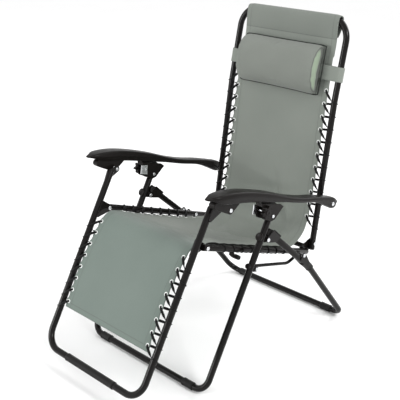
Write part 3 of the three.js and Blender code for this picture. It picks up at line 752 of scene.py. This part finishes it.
def armrest_shell(side, s):
    """Rounded sections along the armrest, between its four curves."""
    top, under, inner, outer = map(curve_of, (ARM_TOP, ARM_UNDER, ARM_IN, ARM_OUT))
    tip, heel = [-266, -264, -260, -254], [348, 356, 364, 371, 377, 380, 382]
    ys = np.concatenate([tip, np.linspace(-248, 340, 76), heel])
    n = 44
    t = turn(n)
    cx = np.sign(np.cos(t)) * abs(np.cos(t)) ** 0.42
    cz = np.sign(np.sin(t)) * abs(np.sin(t)) ** 0.5
    # the pad is dished a little along the middle and rolls down to both edges
    ridge = 1.6 * np.exp(-((abs(cx) - 0.78) / 0.13) ** 2)
    roll = np.where(cz > 0, ridge - 3.0 * abs(cx) ** 3.5 - 0.8, 0.0)
    lower = np.where(cz < 0, 0.86, 1.0)
    verts, uvs = [], []
    for y in ys:
        zt, zu, xi, xo = top(y), under(y), inner(y), outer(y)
        a, b = (xo - xi) / 2, max((zt - zu) / 2, 0.8)
        xs = (xo + xi) / 2 + a * cx * lower
        zs = (zt + zu) / 2 + b * cz + roll * min(1.0, b / 12.0)
        verts += [world(s * x, (y, z)) for x, z in zip(xs, zs)]
        uvs += [(j / n, y * MM) for j in range(n)]
    faces = band_faces(len(ys), n) + end_faces(len(ys), n)
    if s < 0:
        faces = [f[::-1] for f in faces]
    return make(f"armrest_{side}_shell", verts, faces, uvs, PLASTIC)


def armrest_slide(side, x):
    """Two cheeks on either side of the front leg, with a bridge and a tongue between them."""
    def q(a, b):
        return slot_a + slot_u * a + left(slot_u) * b
    outline = [q(92, -3), q(184, -3), q(203, -11), (38, 541), (33, 536), (16, 533), (-22, 550),
               (-30, 555), (-32, 562)]
    parts = pair(f"slide_{side}", outline, x, 11.4, 14.4, PLASTIC, 0.8)
    for part, low, high, half in (("bridge", -14, -4, 12), ("tongue", -9, 5, 7)):
        outline = [q(94, low), q(124, low), q(124, high), q(94, high)]
        parts.append(slab(f"slide_{side}_{part}", outline, x - half, x + half, PLASTIC, 0.8))
    stands_for(joined(f"armrest_slide_{side}_moulded", parts), f"armrest_slide_{side}")


def clamp(side, s, x):
    """A six-lobed knob with its hub and bolt, and the pressed plate it draws up."""
    star = []
    for t in turn(72):
        r = 17.5 + 4.5 * math.cos(6 * t)
        star.append((KNOB[0] + r * math.cos(t), KNOB[1] + r * math.sin(t)))
    knob = slab(f"knob_{side}_star", star, x + s * 14.8, x + s * 27, PLASTIC, 2.0, 4)
    profile = ((24, 10.5), (27.5, 10.0), (29.4, 8.6), (30, 6.5), (29.2, 5.5), (29.2, 0.4))
    hub = lathe(f"knob_{side}_hub", KNOB, [(x + s * a, r) for a, r in profile], PLASTIC)
    profile = ((20, 3.4), (-20.6, 3.4), (-21, 2.9), (-21, 0.4))
    bolt = lathe(f"knob_{side}_bolt", KNOB, [(x + s * a, r) for a, r in profile], ZINC, 16)
    stands_for(joined(f"clamp_knob_{side}_moulded", [knob, hub, bolt]), f"clamp_knob_{side}")
    outline = [(-44, 566), (-14, 557), (-10, 592), (-38, 598)]
    plate = slab(f"clamp_plate_{side}_pressed", outline, x - s * 14.8, x - s * 17.8, ZINC, 0.7)
    stands_for(plate, f"clamp_plate_{side}")


def build_armrests():
    for side, s in SIDES:
        shell = armrest_shell(side, s)
        outline = hull((B, 13), ((-228, 651), 12), ((-120, 648), 10))
        ear = slab(f"arm_ear_{side}", outline, s * 266, s * 291, PLASTIC, 2.5, 4)
        stands_for(joined(f"armrest_{side}_moulded", [shell, ear]), f"armrest_{side}")
        armrest_slide(side, s * LEG_X)
        clamp(side, s, s * LEG_X)


# ---- the sling: one long strip of cloth, cut once behind the knee ----
high_n = left(back_high)
low_n = left(back_low)


def top_bar(a, b):
    return off(BACK_TOP, back_high, a, b)


# its line seen from the side, from the footrest's lower hem to the end of the pocket folded over the top bar
SLING = [(-446, 206), (-431, 240), (-415, 271), (-393, 314), (-350, 384), (-300, 449), (-276, 478),
         (-257, 492), (-236, 497), (-206, 489), (-140, 462), (-60, 432), (29, 401), (100, 377), (170, 357),
         (224, 345), (260, 350), (290, 367), (308, 385), (318, 405), (326, 427), (336, 471),
         (350, 545), (368, 640), vec((380, 721)) + low_n * 3, vec(BACK_BEND) + low_n * 3,
         off(BACK_BEND, back_high, 120, 3), top_bar(-80, 4), top_bar(-48, 9), top_bar(-20, 12.8)]
SLING += [top_bar(13.2 * math.sin(t), 13.2 * math.cos(t)) for t in np.linspace(0.25, math.pi, 7)]
SLING += [top_bar(-20, -12.6), top_bar(-46, -7), top_bar(-62, 0.4)]
sling_line = spline(SLING, 5.0)
sling_s = lengths_along(sling_line)
d_line = np.gradient(sling_line, axis=0)
sling_n = normed(np.stack([-d_line[:, 1], d_line[:, 0]], 1))
SLING_LENGTH = float(sling_s[-1])


def station(p):
    """Length along the sling nearest a side-view point, leaving out the folded-over pocket."""
    keep = sling_s < s_over
    return float(sling_s[keep][np.argmin(np.linalg.norm(sling_line[keep] - vec(p), axis=1))])


s_over = float(sling_s[np.argmax(sling_line[:, 1])])
# lengths along the sling of the knee, the small of the back, the bend of the back and the pocket's seam
S_A = station((-236, 498))
S_D = station((318, 405))
S_BEND = station(vec(BACK_BEND) + low_n * 3)
S_POCKET = station(top_bar(-70, 5))
CLOTH = textilene("textilene", SAGE_LOW, SAGE_HIGH, seam=S_POCKET * MM)


# lengths along the sling of each side's eyelets
EYELETS = {
    "foot": np.linspace(station((-436, 226)), station((-281, 473)), 8),
    "seat": np.linspace(station((-186, 482)), station((157, 360)), 9),
    "back": np.linspace(station((331, 446)) - 12, station((404, 879)) - 4, 11),
}
ALL_EYELETS = np.concatenate(list(EYELETS.values()))
# soft creases: (x, length along, angle, half length, half width, height)
CREASES = [
    (95, S_D - 175, 0.9, 100, 15, 7.5), (45, S_D - 120, 0.6, 110, 15, -8.0),
    (125, S_D - 95, 1.2, 85, 13, 7.0), (-60, S_D - 150, -0.7, 100, 17, 5.0),
    (-120, S_D - 90, -1.1, 85, 16, -5.0), (10, S_D - 45, 0.1, 130, 15, 5.0),
    (110, S_D + 15, 2.2, 95, 14, 7.0), (70, S_D + 45, 2.0, 105, 15, -7.0),
    (150, S_D - 30, 1.6, 70, 12, -5.0), (80, S_A + 120, 0.35, 110, 16, 4.0),
    (-40, S_A + 85, 0.25, 130, 17, -4.0), (20, S_A + 170, 0.5, 120, 18, 3.6),
    (110, S_A + 40, 0.2, 90, 12, 2.4), (-90, S_A - 75, 0.3, 110, 18, -2.0),
    (60, S_A - 120, 0.28, 130, 20, 1.8), (30, S_D + 90, 0.15, 140, 18, -2.4),
    (-30, S_D + 125, -0.2, 140, 20, 1.8), (-70, 60, 0.4, 120, 22, 1.4),
    (50, S_D + 250, 0.5, 160, 34, 1.2), (-60, S_D + 360, -0.4, 170, 36, -1.0)]


def edge_phase(s):
    """0 at an eyelet, 1 half way between two."""
    d = np.min(np.abs(ALL_EYELETS[:, None] - s[None, :]), axis=0)
    return 0.5 - 0.5 * np.cos(np.pi * np.clip(d / 22.0, 0, 1))


def half_width(s):
    """Half the sling's width: drawn in between eyelets, and narrower up at the top bar."""
    w = SLING_HALF - 3.6 * edge_phase(s) * (s < S_POCKET - 60) * (s > 25)
    narrow = np.clip((s - (S_BEND + 60)) / 70.0, 0, 1)
    return w - 5.5 * narrow * narrow * (3 - 2 * narrow)


# where it hangs: (length along, half length, depth)
SAGS = [(S_D - 230, 150.0, 17.0), (S_D + 30, 70.0, 9.0), (S_A * 0.5, 110.0, 5.0), (S_D + 260, 160.0, 7.0)]


def sag(s):
    """How far the cloth hangs below the line of its eyelets."""
    return sum(depth * np.exp(-(((s - at) / half) ** 2)) for at, half, depth in SAGS)


def sheet_points(s, f):
    """Points of the cloth's middle surface at lengths s and cross fractions f, -1 to 1."""
    S, F = np.meshgrid(s, f, indexing="ij")
    half = half_width(s)[:, None]
    X = F * half
    y, z, ny, nz = (np.interp(S, sling_s, c) for c in (*sling_line.T, *sling_n.T))
    lift = -sag(s)[:, None] * (1 - F ** 2) ** 0.8
    for cx, cs, angle, length, width, height in CREASES:
        a = (X - cx) * math.cos(angle) + (S - cs) * math.sin(angle)
        b = -(X - cx) * math.sin(angle) + (S - cs) * math.cos(angle)
        lift += height * np.exp(-((a / length) ** 2) - (b / width) ** 2) * (1 - F ** 4)
    edge = np.exp(-(1 - abs(F)) * SLING_HALF / 20.0)
    lift += edge * (1.4 * (1 - edge_phase(s)[:, None]) - 0.9) * (S < S_POCKET - 60)
    # the pocket drops where the top bar turns down into its corners
    over = np.clip((S - (s_over - 60)) / 60.0, 0, 1) * np.clip((s_over + 90 - S) / 60.0, 0, 1)
    x_in = np.clip(abs(X) - (FRAME_X - 72), 0, 60)
    drop = 0.3 * (72 - np.sqrt(72 ** 2 - x_in ** 2)) * over
    y = y + ny * lift - back_high[0] * drop
    z = z + nz * lift - back_high[1] * drop
    return X, y, z


def cloth_piece(name, s0, s1, nodes):
    """The sling from length s0 to s1, with thicker hems, shown in place of its CAD nodes."""
    s = np.linspace(s0, s1, max(8, int((s1 - s0) / 5.0)))
    inner = np.linspace(-1, 1, 83)
    f = np.unique(np.concatenate([inner, [-0.985, 0.985]]))
    X, Y, Z = sheet_points(s, f)
    P = np.stack([X, Y + SHIFT_Y, Z], -1) * MM
    du, dv = np.gradient(P, axis=0), np.gradient(P, axis=1)
    N = normed(np.cross(dv, du))
    hem = np.abs(X) > np.abs(X).max(1, keepdims=True) - 24
    thick = np.where(hem, CLOTH_EDGE, CLOTH_HALF)[..., None] * MM
    rows, cols = X.shape
    front, rear = (P + N * thick).reshape(-1, 3), (P - N * thick).reshape(-1, 3)
    uv = np.stack([X * MM, np.broadcast_to(s[:, None] * MM, X.shape)], -1).reshape(-1, 2)
    k = rows * cols
    idx = np.arange(k).reshape(rows, cols)
    quads = np.stack([idx[:-1, :-1], idx[:-1, 1:], idx[1:, 1:], idx[1:, :-1]], -1).reshape(-1, 4)
    ring = np.concatenate([idx[0], idx[1:, -1], idx[-1, -2::-1], idx[-2:0:-1, 0]])
    after = np.roll(ring, -1)
    edges = np.stack([ring, ring + k, after + k, after], 1)
    faces = np.vstack([quads, k + quads[:, ::-1], edges]).tolist()
    o = make(name, np.vstack([front, rear]), faces, np.vstack([uv, uv]), CLOTH)
    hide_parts(*nodes)
    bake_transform(o)


def build_sling():
    middle = S_A + 60

    cloth_piece("sling_front", 0, middle, ["foot_sling"])
    cloth_piece("sling_rear", middle, SLING_LENGTH, ["seat_sling", "back_sling"])


# ---- eyelets and lacing ----
def cloth_frame(s, x):
    """Point, way along and normal of the cloth at length s, x from the middle, in millimetres."""
    f = x / float(half_width(np.array([s]))[0])
    X, Y, Z = sheet_points(np.array([s - 2, s, s + 2]), np.array([f]))
    p = np.array([X[1, 0], Y[1, 0] + SHIFT_Y, Z[1, 0]])
    t = normed(np.array([0, Y[2, 0] - Y[0, 0], Z[2, 0] - Z[0, 0]]))
    return p, t, np.cross([1, 0, 0], t)


def ring_mesh(p, n, major, minor, squash=0.75, segments=24, sides=10):
    """A torus of half depth squash * minor round point p, as vertices and faces."""
    a = normed(np.cross(n, [0, 0.3, 1]))
    b = np.cross(n, a)
    verts = []
    for t in turn(segments):
        out = math.cos(t) * a + math.sin(t) * b
        for k in turn(sides):
            verts.append((p + out * (major + minor * math.cos(k)) + n * minor * squash * math.sin(k)) * MM)
    return verts, [f[::-1] for f in band_faces(segments, sides, loops=True)]


def tube_line(points):
    """The frame tube's centre line in one side plane, as dense side-view points."""
    pairs = [(vec(p), vec(q)) for p, q in zip(points, points[1:])]
    runs = [np.linspace(p, q, int(np.linalg.norm(q - p) / 2), endpoint=False) for p, q in pairs]
    return np.vstack(runs + [vec(points[-1])])


def turn_round_tube(s, p, q, n, centre, tangent):
    """The cord's way round the tube between eyelets p and q, over the front first."""
    points = []
    for k in range(6):
        angle = math.radians(102 - 41 * k)
        w = 0.7 + 0.05 * k
        m = p * (1 - w) + q * w
        j = int(np.argmin(np.linalg.norm(centre - (m[1:] - [SHIFT_Y, 0]), axis=1)))
        front = left(tangent[j])
        if front @ n[1:] < 0:
            front = -front
        c = centre[j] + [SHIFT_Y, 0] + front * WRAP_R * math.sin(angle)
        points.append(np.array([s * (FRAME_X + WRAP_R * math.cos(angle)), *c]))
    return points


def lace_route(panel, s, spots, centre):
    """Out through an eyelet, across to the tube, round it and back under the cloth to the next."""
    tangent = normed(np.gradient(centre, axis=0))
    outward = np.array([s, 0, 0])
    p, t, n = spots[0]
    route = [p - t * 4 - n * 7 - outward * 5, p - t * 1.5 - n * 5]
    for i, (p, t, n) in enumerate(spots):
        route += [p - n * 4.0, p + n * 3.6 + outward * 0.8]
        if i + 1 < len(spots):
            q, _, n2 = spots[i + 1]
            route += turn_round_tube(s, p, q, n, centre, tangent)
            route.append(q - n2 * 6.5 + outward * 4.0)
        elif panel == "seat":
            route += [p + n * 3.4 + t * 3 + outward * 3, p + n * 1.0 + t * 9 + outward * 7]
        else:
            # past the last eyelet the cord goes on to the tube, as if there were one more
            route += turn_round_tube(s, p, 2 * p - spots[i - 1][0], n, centre, tangent)
    return spline(route, 3.0) * MM


def lace(panel, side, s, line):
    """One elastic cord along one side of a panel, and a ring on each face of the cloth at each eyelet."""
    centre = tube_line(line)
    # the back and the footrest are laced from their upper ends, the seat from the front
    stations = EYELETS[panel] if panel == "seat" else EYELETS[panel][::-1]
    spots = [cloth_frame(v, s * EYELET_X) for v in stations]
    pts = lace_route(panel, s, spots, centre)
    # the cord is pulled thin where it grips the tube, and narrows through each eyelet
    axis = np.column_stack([np.full(len(centre), s * FRAME_X), centre[:, 0] + SHIFT_Y, centre[:, 1]])
    away = np.array([np.linalg.norm(axis - q / MM, axis=1).min() for q in pts])
    hole = np.array([min(np.linalg.norm(p - q / MM) for p, _, _ in spots) for q in pts])
    free = np.clip((away - WRAP_R - 1) / 7.0, 0, 1) * (0.6 + 0.4 * np.clip((hole - 4) / 7.0, 0, 1))
    v, f, uv = sweep_mesh(pts, (CORD_THIN + (CORD_R - CORD_THIN) * free) * MM, 12)
    cord = make(f"{panel}_lace_{side}_cord", v, f, uv, ELASTIC)
    stands_for(cord, f"{panel}_lace_{side}")
    verts, faces = [], []
    for p, _, n in spots:
        for shift in (CLOTH_EDGE, -CLOTH_EDGE):
            v, f = ring_mesh(p + n * shift, n, EYELET_R, EYELET_WALL)
            faces += [tuple(i + len(verts) for i in face) for face in f]
            verts += v
    rings = make(f"{panel}_eyelets_{side}", verts, faces, material=EYELET)
    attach(rings, BODY[f"{panel}_sling"])


def build_lacing():
    lines = {"back": [BACK_FOOT, BACK_BEND, BACK_TOP], "seat": [RAIL_FRONT, RAIL_REAR],
             "foot": [FOOT_TOP, FOOT_BAR]}
    for side, s in SIDES:
        for panel, line in lines.items():
            lace(panel, side, s, line)


# ---- pillow and strap ----
PILLOW_MID = vec(BACK_BEND) + back_high * 96
# in metres: how far the cushion's flat back stands off that point, and its half length when full
BACK_GAP, PILLOW_END = 0.0165, 0.181


def pillow_rings():
    """A D-shaped bolster: flat against the sling, round in front, ends drawn in a little."""
    flat_b, depth, half_h, half_l = 17.0, 54.0, 90.0, 176.0
    n, rows = 72, 61
    verts = []
    for f in np.linspace(-1, 1, rows):
        ease = 1 - 0.05 * abs(f) ** 8
        for k in turn(n):
            a, c = math.sin(k), math.cos(k)
            b = flat_b + depth * c ** 0.95 * ease if c > 0 else flat_b - 1.5 * abs(c) ** 0.5
            h = half_h * ease * np.sign(a) * abs(a) ** (0.85 if c > 0 else 0.2)
            verts.append(world(f * half_l, PILLOW_MID + back_high * h + high_n * b))
    return verts, [f[::-1] for f in band_faces(rows, n) + end_faces(rows, n)]


def build_pillow():
    verts, faces = pillow_rings()
    o = make("pillow_cover", verts, faces, material=CUSHION)
    even = o.modifiers.new("remesh", "REMESH")
    even.mode, even.voxel_size = "VOXEL", 0.0055
    apply_modifiers(o)
    inflate(o)
    co = points_of(o)
    normal = np.array([0, *high_n])
    base = world(0, PILLOW_MID)
    # each end puckers softly, and the flat side stays flat against the sling
    depth_at = (co - base) @ normal
    near_end = np.clip((abs(co[:, 0]) - 0.135) / 0.05, 0, 1)
    wrinkle = 0.0011 * np.sin(co[:, 2] * 260 + co[:, 1] * 90) * near_end
    broad = 0.0012 * np.sin(co[:, 0] * 37 + 1.0) * np.sin(co[:, 2] * 60)
    co += np.outer(wrinkle + broad, normal) * np.clip(depth_at / 0.06, 0, 1)[:, None]
    depth_at = (co - base) @ normal
    co += np.outer(np.maximum(BACK_GAP - depth_at, 0), normal)
    co[:, 0] = np.clip(co[:, 0], -PILLOW_END, PILLOW_END)
    o.data.vertices.foreach_set("co", co.ravel())
    smooth = o.modifiers.new("smooth", "SMOOTH")
    smooth.iterations, smooth.factor = 3, 0.5
    apply_modifiers(o)
    finer = o.modifiers.new("subdivide", "SUBSURF")
    finer.levels = finer.render_levels = 1
    apply_modifiers(o)
    o.data.polygons.foreach_set("use_smooth", [True] * len(o.data.polygons))
    stands_for(o, "head_pillow")
    build_piping(points_of(o), base, normal)


def inflate(o):
    """Blows the cushion up as cloth, with no point moving more than 7 mm."""
    start = points_of(o)
    most, frames = 0.007, 20
    cloth = o.modifiers.new("cloth", "CLOTH")
    cloth.settings.use_pressure, cloth.settings.uniform_pressure_force = True, 4.0
    cloth.settings.mass, cloth.settings.quality = 0.3, 6
    cloth.settings.tension_stiffness = cloth.settings.compression_stiffness = 12
    cloth.settings.effector_weights.gravity = 0
    cloth.collision_settings.use_collision = False
    cloth.point_cache.frame_start, cloth.point_cache.frame_end = 1, frames
    for step in range(1, frames + 1):
        bpy.context.scene.frame_set(step)
    apply_modifiers(o)
    bpy.context.scene.frame_set(1)
    move = points_of(o) - start
    far = np.linalg.norm(move, axis=1, keepdims=True)
    moved = start + move * np.minimum(1.0, most / np.maximum(far, 1e-9))
    o.data.vertices.foreach_set("co", moved.ravel())


def build_piping(co, base, normal):
    """Thin piping where the cushion's curved panel meets the flat one; its near-black colour is painted shade
    along that edge.
    """
    up = np.array([0, *back_high])
    high_of, depth_of = (co - base) @ up, (co - base) @ normal
    reach = 0.172
    path = []
    for way, edge in ((1, np.max), (-1, np.min)):
        for x in np.linspace(-reach * way, reach * way, 40):
            h = edge(high_of[(depth_of < 0.03) & (np.abs(co[:, 0] - x) < 0.007)])
            rise = h + math.copysign(0.0008, h)
            path.append(np.array([x * 1.05, 0, 0]) + base * [0, 1, 1] + up * rise + normal * 0.022)
    path.append(path[0])
    v, f, uv = sweep_mesh(path, 2.2 * MM, 10, cap=False)
    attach(make("pillow_piping_shade", v, f, uv, PIPING_SHADE), "pillow")


def build_strap():
    """An elastic band round both back tubes."""
    mid = off(BACK_BEND, back_high, 92, 0)
    r = TUBE_R + 1.6
    path = []
    for s in (1, -1):
        for t in np.linspace(-math.pi / 2, math.pi / 2, 13):
            path.append((s * (FRAME_X + r * math.cos(t)), s * r * math.sin(t)))
        for x in np.linspace(s * FRAME_X, -s * FRAME_X, 25)[1:-1]:
            path.append((x, s * (r - 0.6 * math.cos(x / FRAME_X * math.pi / 2))))
    path = np.array(path)
    d = np.roll(path, -1, 0) - np.roll(path, 1, 0)
    out = np.stack([d[:, 1], -d[:, 0]], 1) / np.linalg.norm(d, axis=1)[:, None]
    along = lengths_along(path)
    half = [(12, 1.2), (23.5, 1.3), (24.6, 0.9), (25, 0)]
    across = [(-a, b) for a, b in half[::-1]] + [(0, 1.1)] + half
    section = across + [(a, -b) for a, b in across[-2:0:-1]]
    verts, uvs = [], []
    for i, (x, b) in enumerate(path):
        for a, thick in section:
            q = mid + back_high * a + high_n * (b + out[i, 1] * (thick + 1.0))
            verts.append(world(x + out[i, 0] * (thick + 1.0), q))
            uvs.append((a * MM, along[i] * MM))
    o = make("pillow_strap_band", verts, band_faces(len(path), len(section), loops=True), uvs, STRAP)
    stands_for(o, "pillow_strap")


# ---- floor, world and light ----
def lamp(name, place, aim, size, power):
    data = bpy.data.lights.new(name, "AREA")
    data.shape, data.size, data.energy = "DISK", size, power
    o = placed(name, data)
    o.location = place
    o.rotation_euler = (Vector(aim) - Vector(place)).to_track_quat("-Z", "Y").to_euler()


def build_stage():
    m = Nodes("paper", Roughness=0.9)
    m.colour(m.mix(m.noise(m.coords(), 2.0), (0.9, 0.9, 0.9), (0.93, 0.93, 0.93)))
    ground = make("floor", [(-30, -30, 0), (30, -30, 0), (30, 30, 0), (-30, 30, 0)], [(0, 1, 2, 3)],
                  material=m.material)
    sky = bpy.data.worlds.new("studio")
    bpy.context.scene.world = sky
    sky.use_nodes = True
    back = sky.node_tree.nodes["Background"]
    back.inputs["Color"].default_value = (1, 1, 1, 1)
    back.inputs["Strength"].default_value = 1.06
    lamp("key", (-1.9, -4.2, 1.6), (0, 0, 0.5), 1.5, 92)
    lamp("fill", (3.6, 0.2, 3.4), (0, 0, 0.4), 1.3, 98)
    lamp("end_seam_shade", (0.8, 3.2, 2.6), (0, 0, 0.7), 2.0, 45)


make_camera()
build_frames()
build_hinges()
build_armrests()
build_sling()
build_lacing()
build_pillow()
build_strap()
build_stage()
bpy.context.scene.view_settings.view_transform = "Standard"
